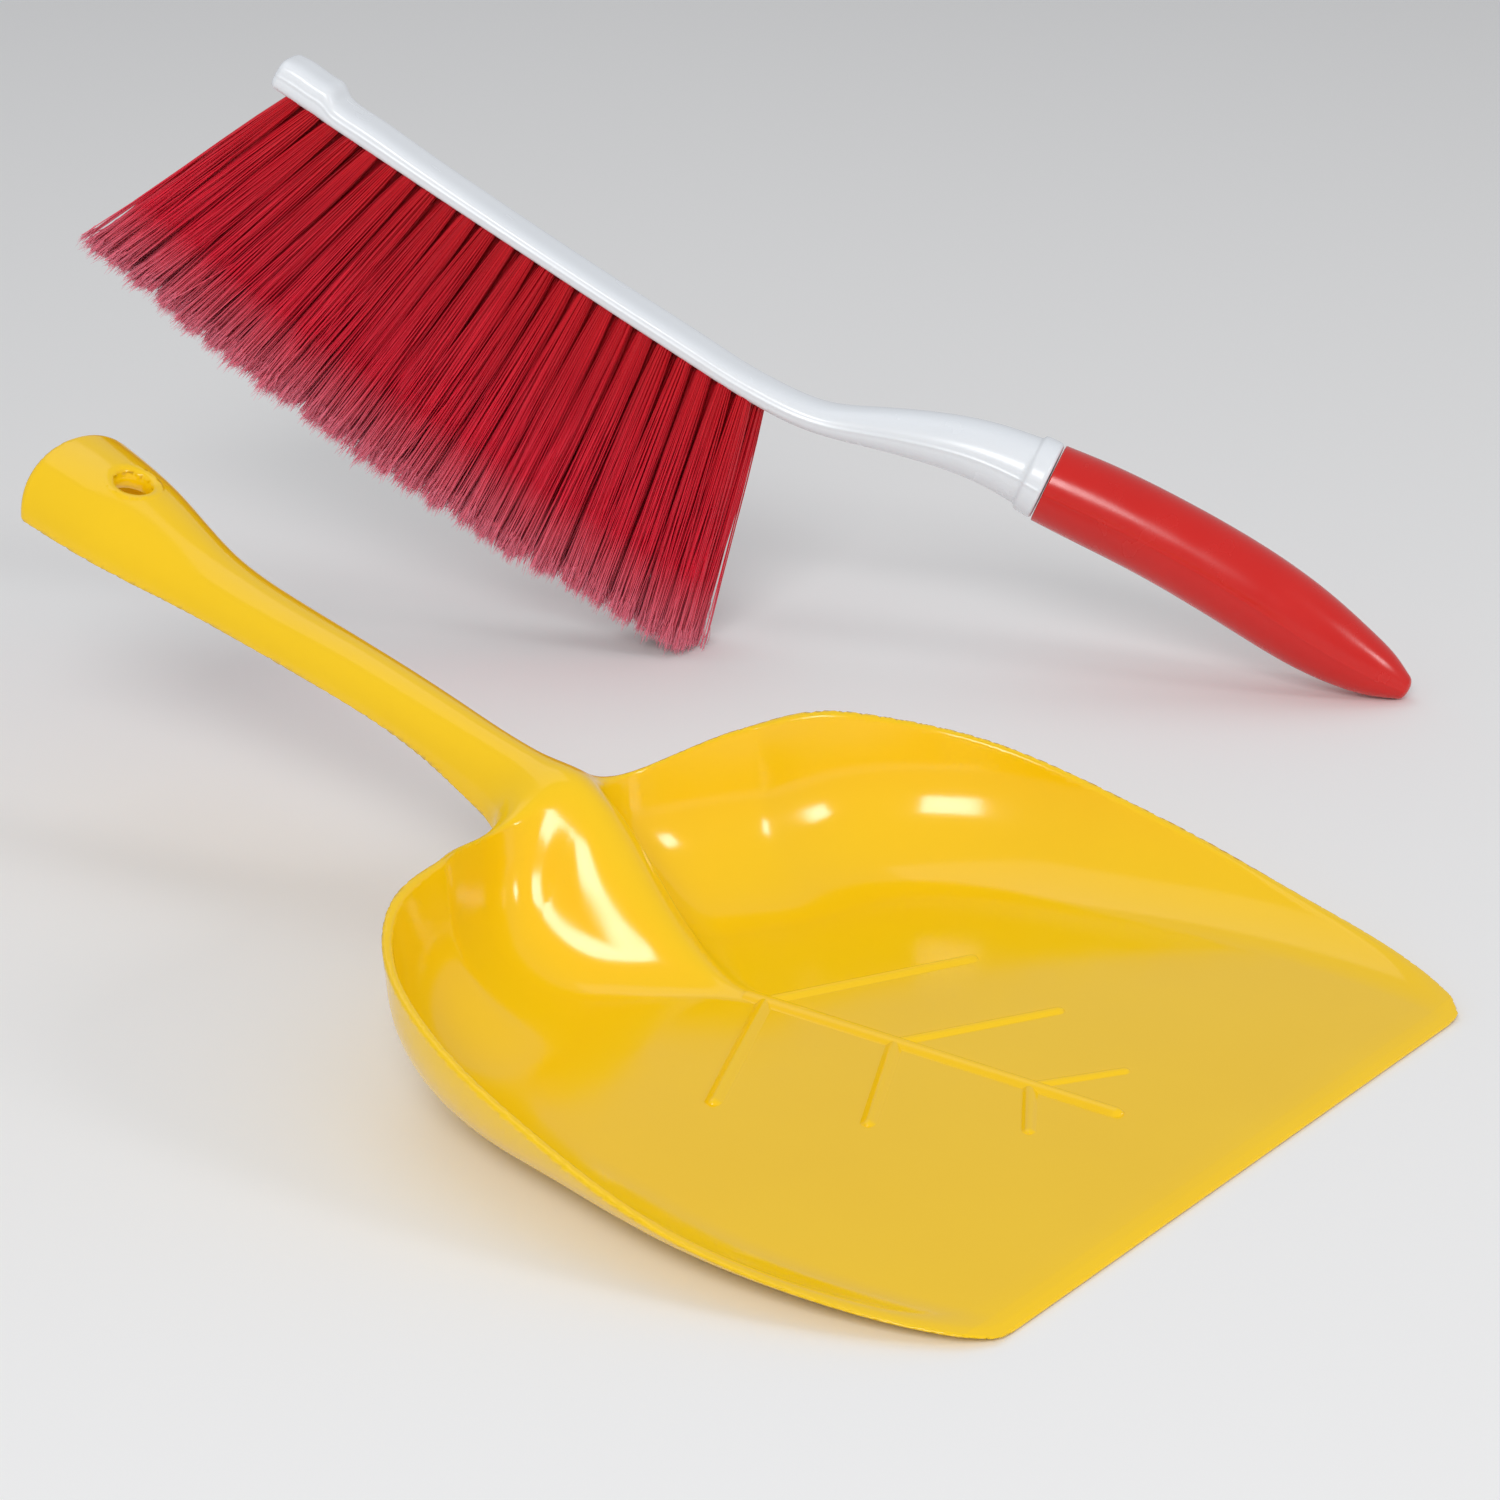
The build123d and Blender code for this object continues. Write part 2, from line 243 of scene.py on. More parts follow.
# right half of the flat floor's edge, (x, y), which the mouth cuts off
FLOOR_PLAN = [
    (0.0, -167.0), (56.0, -139.0), (90.5, -96.0), (97.0, -66.0), (97.0, -30.0), (89.8, 6.0),
    (80.8, 37.5), (69.2, 51.5), (49.5, 57.5), (29.0, 68.0), (11.0, 74.3), (0.0, 75.2),
]
# height of the rim: (y, z)
RIM = [
    (-91.0, 2.6), (-66.0, 6.3), (-34.0, 11.6), (-3.0, 19.9), (28.0, 28.9), (54.0, 36.4),
    (77.0, 42.8), (88.0, 45.4), (97.0, 41.8), (106.0, 37.0), (130.0, 34.0),
]
LIP_RISE = 0.32           # slope of the thinned front lip
LIP_T = 1.0
LIP_ROUNDING = 0.42       # rounding of the lip's edges, as a share of its thickness
RIM_R = 0.9               # rounding of the rim's two edges
RIM_STEEP = 0.94          # turns a height over the sloping rim into a distance from it
SPINE_START_Y = 40.0
SPINE_END_Y = 274.5
# ridge and handle: (y, half width, lower edge z, crest z, fullness of the section)
SPINE = [
    (SPINE_START_Y, 3.0, 0.6, 2.7, 1.52), (50.0, 7.0, 0.6, 4.2, 1.52), (60.0, 12.0, 0.6, 9.0, 1.52),
    (70.0, 17.0, 0.6, 17.5, 1.38), (80.0, 21.0, 0.6, 29.0, 1.16), (90.0, 22.0, 0.6, 40.5, 0.90),
    (98.0, 19.0, 6.0, 45.8, 0.70), (106.0, 13.8, 24.0, 48.0, 0.53), (116.0, 11.0, 32.6, 50.2, 0.445),
    (140.0, 10.0, 44.2, 57.0, 0.445), (172.0, 10.3, 54.8, 66.0, 0.445), (200.0, 11.4, 62.2, 73.0, 0.445),
    (226.0, 13.4, 69.1, 82.0, 0.445), (250.0, 18.6, 77.0, 95.0, 0.445),
    (SPINE_END_Y, 21.8, 85.8, 104.6, 0.445),
]
SPINE_FOOT_R = 0.8        # rounding of the handle's lower edges
SPINE_END_R = 1.8
HOLLOW_Y = (58.0, 264.0)
HOLLOW_R = 0.5            # rounding of the hollow's edges
HOLE_Y = 252.0
HOLE_Z = 96.0
HOLE_R = 4.8
HOLE_DISH = 2.7           # rounding of the mouth of the hole
HOLE_TILT = radians(20.0)
BOSS_R = 7.6
BOSS_H = 7.0
BOSS_FILLET = 1.0
# fillet between the tray and the ridge: (y, size)
BLEND = [(30.0, 1.0), (50.0, 2.0), (62.0, 5.0), (78.0, 10.0), (92.0, 15.0), (120.0, 15.0), (150.0, 4.0)]


def leaf_outline(count):
    """Points along the closed edge of the flat floor."""
    right = np.array(FLOOR_PLAN)
    left = right[1:-1][::-1] * (-1, 1)
    loop = np.vstack([right, left, right[:1]])
    run = np.concatenate([[0], np.cumsum(np.hypot(*np.diff(loop, axis=0).T))])
    return spline(run, loop, np.linspace(0, run[-1], count, endpoint=False), loop=True)


def search_tree(flat_points):
    """Tree that finds the nearest of the points."""
    tree = kdtree.KDTree(len(flat_points))
    for i, (x, y) in enumerate(flat_points):
        tree.insert((x, y, 0.0), i)
    tree.balance()
    return tree


OUTLINE = leaf_outline(6000)
OUTLINE_TREE = search_tree(OUTLINE)


def outline_distance(x, y):
    """Distance outside the floor's edge, negative on the floor, and the way straight out."""
    nearest = np.array([OUTLINE_TREE.find((a, b, 0.0))[1] for a, b in zip(x.tolist(), y.tolist())])
    count = len(OUTLINE)
    here = np.stack([x, y], -1)
    best = np.full(len(x), np.inf)
    foot = np.zeros((len(x), 2))
    for step in (-1, 0):
        a = OUTLINE[(nearest + step) % count]
        b = OUTLINE[(nearest + step + 1) % count]
        run = b - a
        share = np.clip(((here - a) * run).sum(-1) / (run ** 2).sum(-1), 0, 1)
        point = a + run * share[:, None]
        far = np.hypot(*(here - point).T)
        closer = far < best
        best[closer] = far[closer]
        foot[closer] = point[closer]
    ahead = OUTLINE[(nearest + 3) % count] - OUTLINE[(nearest - 3) % count]
    normal = np.stack([ahead[:, 1], -ahead[:, 0]], -1)
    normal /= np.hypot(*normal.T)[:, None]
    side = np.sign(((here - foot) * normal).sum(-1))
    side[side == 0] = 1
    return best * side, normal


def rim_height(y):
    """Height of the rim over y: the thinned lip, then the sweep up to the handle."""
    knots = np.array(RIM)
    swept = spline(knots[:, 0], knots[:, 1], np.clip(y, knots[0, 0], knots[-1, 0]))[..., 0]
    return np.where(y < knots[0, 0], LIP_T + LIP_RISE * (y - MOUTH_Y), swept)


def spine_shape(y):
    """Half width, lower edge, crest and fullness of the ridge and handle at y."""
    knots = np.array(SPINE)
    shape = spline(knots[:, 0], knots[:, 1:], np.clip(y, SPINE_START_Y, SPINE_END_Y))
    return np.moveaxis(shape, -1, 0)


def blend_size(y):
    """Fillet between the tray and the ridge at y."""
    return np.interp(y, *np.array(BLEND).T)


# where the crest climbs, a wall measured straight down is thicker by this factor
CREST_Y = np.linspace(SPINE_START_Y - 2.0, SPINE_END_Y + 2.0, 400)
CREST_TILT = np.hypot(1.0, np.gradient(spine_shape(CREST_Y)[2], CREST_Y))


def round_max(a, b, r):
    """The overlap of two solids, with its edge rounded to radius r."""
    inside = np.minimum(np.maximum(a + r, b + r), 0)
    return inside + np.hypot(np.maximum(a + r, 0), np.maximum(b + r, 0)) - r


def soft_min(a, b, k):
    """The two solids joined, with a fillet of about k."""
    h = np.maximum(k - np.abs(a - b), 0) / k
    return np.minimum(a, b) - h * h * k / 4


def pan_field(x, y, z, d, rim, spine, blend):
    """How far a point is outside the pan's plastic, negative inside it."""
    # tray: floor, edge rounding and leaning wall, one wall thick
    up = z - EDGE_R
    wall = cos(LEAN) * d - sin(LEAN) * up - EDGE_R
    in_corner = (d > 0) & (sin(LEAN) * d + cos(LEAN) * up < 0)
    outer = np.where(in_corner, np.hypot(d, up) - EDGE_R, np.maximum(-z, wall))
    shell = np.abs(outer + WALL / 2) - WALL / 2
    lip = LIP_T + LIP_RISE * (y - MOUTH_Y)
    edge_r = np.clip(LIP_ROUNDING * lip, LIP_ROUNDING * LIP_T, RIM_R)
    tray = round_max(shell, (z - rim) * RIM_STEEP, edge_r)
    tray = round_max(tray, MOUTH_Y - y, MOUTH_EDGE_R)
    # ridge and handle, solid for now; far from the skin only the sign counts, so the value is capped
    half, low, crest, full = spine
    high = crest - low
    share = np.maximum(z - low, 1e-3) / high
    power = 1 / full
    value = (x / half) ** 2 + share ** power - 1
    slope = np.hypot(2 * x / half ** 2, power * share ** (power - 1) / high)
    skin = np.clip(value / (slope + 1e-6), -0.9 * half, 60.0)
    core = round_max(skin, low - z, SPINE_FOOT_R)
    core = np.maximum(core, SPINE_START_Y - y)
    core = round_max(core, y - SPINE_END_Y, SPINE_END_R)
    # the fillet must not bulge below the floor
    made = np.maximum(soft_min(tray, core, blend), -z)
    # open underside of the ridge and the handle
    thick = WALL * np.interp(y, CREST_Y, CREST_TILT)
    hollow = np.maximum(skin + thick, np.maximum(HOLLOW_Y[0] - y, y - HOLLOW_Y[1]))
    hollow = np.maximum(hollow, z - crest + thick)
    made = round_max(made, -hollow, HOLLOW_R)
    # tube round the hanging hole, and the hole with its dished mouth
    rise = (z - HOLE_Z) * cos(HOLE_TILT) - (y - HOLE_Y) * sin(HOLE_TILT)
    flat = (z - HOLE_Z) * sin(HOLE_TILT) + (y - HOLE_Y) * cos(HOLE_TILT)
    far = np.hypot(x, flat)
    boss = np.maximum(far - BOSS_R, np.maximum(rise + WALL / 2, -BOSS_H - rise))
    made = soft_min(made, boss, BOSS_FILLET)
    return round_max(made, HOLE_R - far, HOLE_DISH)


def field_at(points, d, normal):
    """The field and its slope at loose points whose distance from the outline is known."""
    x, y, z = points.T
    small = 0.01

    def read(dx, dy, dz):
        moved = d + normal[:, 0] * dx + normal[:, 1] * dy
        at = y + dy
        return pan_field(x + dx, at, z + dz, moved, rim_height(at), spine_shape(at), blend_size(at))

    slope = [
        read(small, 0, 0) - read(-small, 0, 0),
        read(0, small, 0) - read(0, -small, 0),
        read(0, 0, small) - read(0, 0, -small),
    ]
    return read(0, 0, 0), np.stack(slope, -1) / (2 * small)


def surface_net(xs, ys, zs, f):
    """Quads round the places where f changes sign on a grid, one point in each crossed cell."""
    inside = f < 0
    full = np.zeros(tuple(n - 1 for n in f.shape), np.uint8)
    for i in (0, 1):
        for j in (0, 1):
            for k in (0, 1):
                full += inside[i:f.shape[0] - 1 + i, j:f.shape[1] - 1 + j, k:f.shape[2] - 1 + k]
    active = (full > 0) & (full < 8)
    cells = np.argwhere(active)
    index = np.full(active.shape, -1, np.int32)
    index[active] = np.arange(len(cells))
    total = np.zeros((len(cells), 3))
    hits = np.zeros(len(cells))
    lines = (xs, ys, zs)
    for axis in range(3):
        others = [a for a in range(3) if a != axis]
        for p in (0, 1):
            for q in (0, 1):
                near = cells.copy()
                near[:, others[0]] += p
                near[:, others[1]] += q
                far = near.copy()
                far[:, axis] += 1
                a = f[tuple(near.T)]
                b = f[tuple(far.T)]
                cross = (a < 0) != (b < 0)
                share = np.where(cross, a / np.where(cross, a - b, 1), 0)
                for c in range(3):
                    start = lines[c][near[:, c]]
                    end = lines[c][far[:, c]]
                    total[:, c] += np.where(cross, start + (end - start) * share, 0)
                hits += cross
    points = total / hits[:, None]
    quads = []
    for axis in range(3):
        first = [slice(None)] * 3
        second = [slice(None)] * 3
        first[axis] = slice(None, -1)
        second[axis] = slice(1, None)
        spots = np.argwhere(inside[tuple(first)] != inside[tuple(second)])
        one, two = [a for a in range(3) if a != axis]
        start = inside[tuple(spots.T)]
        corner = []
        for back_one, back_two in ((0, 0), (1, 0), (1, 1), (0, 1)):
            cell = spots.copy()
            cell[:, one] -= back_one
            cell[:, two] -= back_two
            corner.append(index[tuple(cell.T)])
        quad = np.stack(corner, -1)
        flip = ~start if axis != 1 else start
        quad[flip] = quad[flip][:, ::-1]
        quads.append(quad)
    return points, np.vstack(quads)


def grid_line(*spans):
    """Grid positions from (start, end, step) spans laid end to end."""
    parts = [np.arange(start, end - step * 0.5, step) for start, end, step in spans]
    return np.concatenate(parts)


# grid the skin is drawn on, in (start, end, step) spans: finer at the mouth and near the floor
GRID_X = [(-125.0, 125.5, 1.0)]
GRID_Y = [(-97.0, -89.5, 0.5), (-89.5, 276.5, 1.05)]
GRID_Z = [(-0.85, 13.2, 0.5), (13.2, 106.5, 1.1)]
SETTLE_ROUNDS = 3
LONGEST_MOVE = 0.5
FLATTEST_SLOPE = 0.05     # squared; keeps a move short where the field is flat


def make_pan():
    """The pan's skin, drawn from its field and settled exactly on it."""
    xs = grid_line(*GRID_X)
    ys = grid_line(*GRID_Y)
    zs = grid_line(*GRID_Z)
    flat_x, flat_y = (a.ravel() for a in np.meshgrid(xs, ys, indexing="ij"))
    d, _ = outline_distance(flat_x, flat_y)
    d = d.reshape(len(xs), len(ys), 1)
    wide_y = ys[None, :, None]
    spine = spine_shape(ys)[:, None, :, None]
    blend = blend_size(wide_y)
    f = pan_field(xs[:, None, None], wide_y, zs[None, None, :], d, rim_height(wide_y), spine, blend)
    points, quads = surface_net(xs, ys, zs, f)
    for _ in range(SETTLE_ROUNDS):
        d, normal = outline_distance(points[:, 0], points[:, 1])
        value, slope = field_at(points, d, normal)
        length = np.maximum((slope ** 2).sum(-1), FLATTEST_SLOPE)
        move = slope * (value / length)[:, None]
        size = np.sqrt((move ** 2).sum(-1, keepdims=True))
        points = points - move * np.minimum(1, LONGEST_MOVE / np.maximum(size, 1e-9))
    d, normal = outline_distance(points[:, 0], points[:, 1])
    _, slope = field_at(points, d, normal)
    slope /= np.maximum(np.sqrt((slope ** 2).sum(-1, keepdims=True)), 1e-9)
    piece = make_piece("pan_moulding", points, quads.tolist(), yellow, "pan")
    piece.data.normals_split_custom_set_from_vertices(slope.tolist())
    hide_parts("dust_pan")


make_pan()

# ------------------------------------------------------------------
# Leaf veins: rounded ribs whose feet run out level with the floor
# ------------------------------------------------------------------
# middle rib and one side rib of each pair: root y, tip x, tip y, half widths at root and tip, height
MIDDLE_VEIN = (44.0, 0.0, -63.0, 3.1, 2.3, 1.35)
SIDE_VEINS = [
    (38.5, 53.0, 13.0, 2.3, 2.1, 1.15),
    (0.0, 40.0, -21.0, 2.1, 1.9, 0.95),
    (-38.0, 21.0, -51.5, 1.9, 1.7, 0.75),
]
VEIN_SINK = 0.015         # how far the feet of a rib sit in the floor
VEIN_FLARE = 1.35         # above 1, a rib runs out to the floor in a hollow curve


def vein_strip(root_y, tip_x, tip_y, wide_root, wide_tip, high):
    """Rows of points over one rib with a rounded tip."""
    start = np.array([0.0, root_y])
    run = np.array([tip_x, tip_y]) - start
    length = hypot(*run)
    run = run / length
    side = np.array([-run[1], run[0]])
    cap = wide_tip / length
    rounded = 1 - cap + cap * np.sin(np.linspace(0, pi / 2, 12)[1:])
    rows = []
    for t in np.concatenate([np.linspace(0, 1 - cap, 60), rounded]):
        wide = wide_root + (wide_tip - wide_root) * t
        over = max(0.0, (t - (1 - cap)) / cap)
        pinch = sqrt(max(1 - over ** 2, 0.0))
        row = []
        for s in np.linspace(-1, 1, 17):
            x, y = start + run * length * t + side * wide * s * max(pinch, 0.02)
            row.append((x, y, WALL + high * pinch * (1 - s * s) ** VEIN_FLARE - VEIN_SINK))
        rows.append(row)
    return rows


def make_veins():
    """All the ribs on the floor, as one piece."""
    veins = [MIDDLE_VEIN]
    for root_y, tip_x, *rest in SIDE_VEINS:
        for side in (-1, 1):
            veins.append((root_y, side * tip_x, *rest))
    points = []
    faces = []
    for vein in veins:
        rows = vein_strip(*vein)
        cols = len(rows[0])
        for i in range(len(rows) - 1):
            for j in range(cols - 1):
                a = len(points) + i * cols + j
                faces.append((a, a + cols, a + cols + 1, a + 1))
        points += [point for row in rows for point in row]
    make_piece("pan_veins", points, faces, yellow, "pan")


make_veins()

# ------------------------------------------------------------------
# Brush frame: X along the block towards the handle, Z away from the bristles
# ------------------------------------------------------------------
# where the brush stands, and how it is turned and tilted there
BRUSH_AT = np.array([151.8, 343.0, 167.768])
YAW = radians(-65.0)
TILT = radians(31.164)
AXIS_X = np.array([cos(TILT) * cos(YAW), cos(TILT) * sin(YAW), -sin(TILT)])
AXIS_Z = np.array([sin(TILT) * cos(YAW), sin(TILT) * sin(YAW), cos(TILT)])
AXIS_Y = np.cross(AXIS_Z, AXIS_X)
BRUSH_AXES = np.stack([AXIS_X, AXIS_Y, AXIS_Z])


def stand(points):
    """From the brush's own frame to where the brush stands."""
    return BRUSH_AT + np.asarray(points, float) @ BRUSH_AXES


SEAM_W = 0.55             # half width of the raised mould seam


def section_ring(half_high, half_wide, power, seam):
    """Closed section from superellipse quadrants, evenly spaced, with a raised seam at both sides."""
    fine = np.linspace(0, pi / 2, 400)
    y = half_wide * np.cos(fine) ** (2 / power)
    z = half_high * np.sin(fine) ** (2 / power)
    run = np.concatenate([[0], np.cumsum(np.hypot(np.diff(y), np.diff(z)))])
    stops = np.concatenate([[0.0, 0.28, SEAM_W], np.linspace(2 * SEAM_W, run[-1], 26)])
    y = np.interp(stops, run, y)
    z = np.interp(stops, run, z)
    y[0] += seam
    y[1] += seam * 0.8
    quad_y = np.concatenate([y, -y[::-1][1:], -y[1:], y[::-1][1:-1]])
    quad_z = np.concatenate([z, z[::-1][1:], -z[1:], -z[::-1][1:-1]])
    return quad_y, quad_z


def loft_points(rows, at, seam):
    """Rings along the brush from rows (x, z of the middle, slope, half height, half width, power)."""
    rows = np.array(rows, float)
    shape = spline(rows[:, 0], rows[:, 1:], at)
    rings = []
    for x, (z, slope, half_high, half_wide, power) in zip(at, shape):
        y, up = section_ring(half_high, half_wide, power, seam)
        lean = radians(slope)
        rings.append(np.stack([x - sin(lean) * up, y, z + cos(lean) * up], -1))
    return rings


def close_rings(rings):
    """Points and faces of a skin through the rings, closed at both ends."""
    around = len(rings[0])
    points = np.vstack(rings)
    faces = tube_faces(len(rings), around).tolist()
    first = len(points)
    points = np.vstack([points, rings[0].mean(0), rings[-1].mean(0)])
    last = (len(rings) - 1) * around
    for i in range(around):
        j = (i + 1) % around
        faces.append((j, i, first))
        faces.append((last + i, last + j, first + 1))
    return points, faces


def shrink(ring, share, move):
    """The ring drawn in towards its middle and moved along the brush."""
    middle = ring.mean(0)
    return middle + (ring - middle) * share + np.array([move, 0, 0])


# ------------------------------------------------------------------
# Brush stock: block with its raised free end, neck, swelling handle and collar
# ------------------------------------------------------------------
BLOCK_BASE = 2.6          # height of the underside the bristles leave from


def block_row(x, top, wide=9.0, power=3.6):
    """Row of the tuft block, whose underside is flat."""
    return (x, (BLOCK_BASE + top) / 2, 0.0, (top - BLOCK_BASE) / 2, wide, power)


# rows: x, z of the middle, slope, half height, half width, power of the superellipse
STOCK = [
    block_row(-3.0, 13.2), block_row(0.0, 13.6), block_row(9.0, 13.4), block_row(13.4, 12.8),
    block_row(15.8, 10.9), block_row(17.8, 10.2), block_row(24.0, 10.0), block_row(40.0, 9.6),
    block_row(70.0, 8.9), block_row(100.0, 8.7), block_row(129.0, 9.0), block_row(150.0, 9.4, 8.9, 3.3),
    (163.0, 6.1, 1.5, 3.6, 8.6, 3.0), (173.0, 6.7, 5.0, 4.0, 8.4, 2.7),
    (183.0, 7.9, 11.0, 4.4, 8.3, 2.4), (193.0, 10.4, 20.0, 4.8, 8.3, 2.2),
    (207.0, 16.6, 26.0, 6.1, 8.8, 2.1), (222.0, 23.4, 22.5, 7.7, 10.0, 2.0),
    (240.0, 29.6, 14.0, 9.4, 11.2, 2.0), (253.0, 32.0, 8.5, 10.7, 12.0, 2.0),
]
COLLAR = [(253.0, 32.0, 8.5, 10.7, 12.0, 2.0), (260.0, 32.6, 8.0, 11.3, 12.4, 2.0)]
GRIP = [
    (260.4, 32.4, 8.0, 12.4, 13.0, 2.0), (274.0, 34.6, 7.5, 13.0, 13.4, 2.0),
    (292.0, 37.0, 6.0, 13.2, 13.6, 2.0), (314.0, 38.8, 3.0, 13.4, 13.6, 2.0),
    (336.0, 39.4, 0.0, 13.3, 13.2, 2.0), (354.0, 39.2, -1.0, 12.1, 11.8, 2.0),
    (368.0, 39.4, 1.0, 9.7, 9.6, 2.0), (378.0, 40.0, 3.0, 6.8, 6.8, 2.0),
    (383.5, 40.3, 4.0, 4.2, 4.3, 2.0),
]
# where the rings of each loft stand, closer together round the block's free end
STOCK_RINGS = np.concatenate([np.linspace(-3, 24, 60), np.linspace(25, 253, 170)])
COLLAR_RINGS = np.linspace(253.4, 259.8, 14)
GRIP_RINGS = np.concatenate([np.linspace(260.4, 264, 8), np.linspace(265, 383.5, 120)])
STOCK_SEAM = 0.22         # height of the mould seams
GRIP_SEAM = 0.12
# the collar's step up and down: place along the band, and size over the handle's
COLLAR_PLACE = [0, 0.08, 0.2, 0.85, 0.95, 1.0]
COLLAR_SIZE = [1.02, 1.09, 1.11, 1.10, 1.08, 1.04]
# rounded ends: (share of the ring's size, move along the brush)
FREE_END = [(0.30, -1.9), (0.62, -1.85), (0.82, -1.65), (0.91, -1.25), (0.965, -0.7), (0.99, -0.3)]
COLLAR_END = [(0.97, 0.15), (0.7, 0.15), (0.4, 0.15)]
GRIP_MOUTH = [(0.4, 0.05), (0.86, 0.0), (0.95, 0.02), (0.985, 0.15), (0.998, 0.12)]
GRIP_TIP = [(0.93, 0.7), (0.82, 1.3), (0.66, 1.8), (0.45, 2.15), (0.2, 2.3)]


def rounded_end(ring, steps):
    """The rings of a rounded end, each drawn in from the ring it starts at."""
    return [shrink(ring, share, move) for share, move in steps]


def make_stock():
    """Block, neck and handle in one loft, and the collar's band with its steps."""
    rings = loft_points(STOCK, STOCK_RINGS, STOCK_SEAM)
    band = loft_points(COLLAR, COLLAR_RINGS, STOCK_SEAM)
    sizes = np.interp(np.linspace(0, 1, len(band)), COLLAR_PLACE, COLLAR_SIZE)
    band = [shrink(ring, size, 0) for ring, size in zip(band, sizes)]
    head = rounded_end(rings[0], FREE_END)
    tail = rounded_end(band[-1], COLLAR_END)
    points, faces = close_rings(head + rings + band + tail)
    piece = make_piece("stock_moulding", stand(points), faces, white, "brush")
    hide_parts("brush_stock")


def make_grip():
    """Sleeve with a rounded mouth at the collar and a rounded closed tip."""
    rings = loft_points(GRIP, GRIP_RINGS, GRIP_SEAM)
    head = rounded_end(rings[0], GRIP_MOUTH)
    tail = rounded_end(rings[-1], GRIP_TIP)
    points, faces = close_rings(head + rings[1:] + tail)
    piece = make_piece("grip_moulding", stand(points), faces, red, "brush")
    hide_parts("grip_sleeve")


make_stock()
make_grip()

# ------------------------------------------------------------------
# Bristles: every tuft is a bundle of filaments, split and worn at the ends
# ------------------------------------------------------------------
COLUMNS = 24
FIRST_X = 5.5
LAST_X = 170.7
STAGGER = 1.8             # how far the outer rows stand back and the middle row stands forward
ROW_Y = 5.3
SPLAY_FREE = -23.4        # lean along the brush at its free end, in degrees
SPLAY_HANDLE = 15.5
SPLAY_SIDE = 3.0
TUFT_R = 2.25
TUFT_TIP_R = 5.0
TUFT_OPENING = 0.55       # below 1, a tuft widens faster near its root
TUFT_L = 82.8
TUFT_L_END = 81.0
FILAMENTS = 96
GOLDEN_TURN = 2.39996     # spreads the filaments evenly over a disc
DISC_JITTER = 0.05
LENGTH_JITTER = 0.7
BEND_EACH = 1.2           # how far the end of a filament strays by itself
BEND_TUFT = 0.9           # and how far its whole tuft strays
RIPPLE = (0.05, 0.22)     # sideways waves along a filament
TONE = (0.62, 0.22)       # average and spread of the filaments' brightness
CLUMPS = 5                # groups that draw together towards the ends
CLUMP_SPREAD = 0.55
CLUMP_PULL = 0.28
LOOSE_SHARE = 0.05        # filaments that stand out from their tuft
LOOSE_BEND = 3.2
FILAMENT_R = 0.215
FILAMENT_CORNERS = 4
FILAMENT_AT = np.array([-0.03, 0.03, 0.15, 0.32, 0.52, 0.72, 0.88, 1.0])
SPLITS = 3
SPLIT_CORNERS = 3
SPLIT_FROM = 0.93         # where along a filament its end is split
SPLIT_AT = (0.93, 0.97, 1.0, 1.035)
SPLIT_R = (0.12, 0.105, 0.09, 0.03)
SPLIT_ALONG = (0.9, 0.95, 1.0, 1.0)
SPLIT_FLARE = 0.75
SPLIT_CURL = 0.35
SPLIT_LENGTH = (0.6, 1.05)
SPLIT_PALER = 0.15
FLOOR_GAP = 0.15          # the lowest a filament comes to the floor


def tuft_lean(share):
    """Lean of a tuft along the brush, for its share of the way from the free end."""
    return radians(SPLAY_FREE + (SPLAY_HANDLE - SPLAY_FREE) * share)


def tuft_length(share):
    """The tufts in the middle of the block are the longest."""
    return TUFT_L - (TUFT_L - TUFT_L_END) * (2 * share - 1) ** 2


def tuft_root(share, shift, y):
    """Where a tuft leaves the block."""
    return np.array([FIRST_X + (LAST_X - FIRST_X) * share + shift, y, BLOCK_BASE])


def tuft_way(share, row):
    """Which way a tuft points."""
    way = np.array([tan(tuft_lean(share)), tan(radians(SPLAY_SIDE * row)), -1.0])
    return way / np.linalg.norm(way)


def tuft_end(share):
    """Where the middle of a tuft in the middle row ends."""
    return tuft_root(share, 0.0, 0.0) + tuft_way(share, 0) * tuft_length(share)


class Strands:
    """Points, faces and point attributes gathered from many small tubes."""

    def __init__(self):
        self.points = []
        self.faces = []
        self.along = []
        self.tone = []
        self.count = 0

    def add(self, rings, along, tone):
        """One tube for each filament, through rings held as (filament, ring, corner, place)."""
        tubes, rows, corners, _ = rings.shape
        first = np.arange(tubes) * rows * corners + self.count
        quads = tube_faces(rows, corners)[None] + first[:, None, None]
        self.faces += quads.reshape(-1, 4).tolist()
        self.points.append(rings.reshape(-1, 3))
        self.along.append(np.tile(np.repeat(along, corners), tubes))
        self.tone.append(np.repeat(tone, rows * corners))
        self.count += tubes * rows * corners


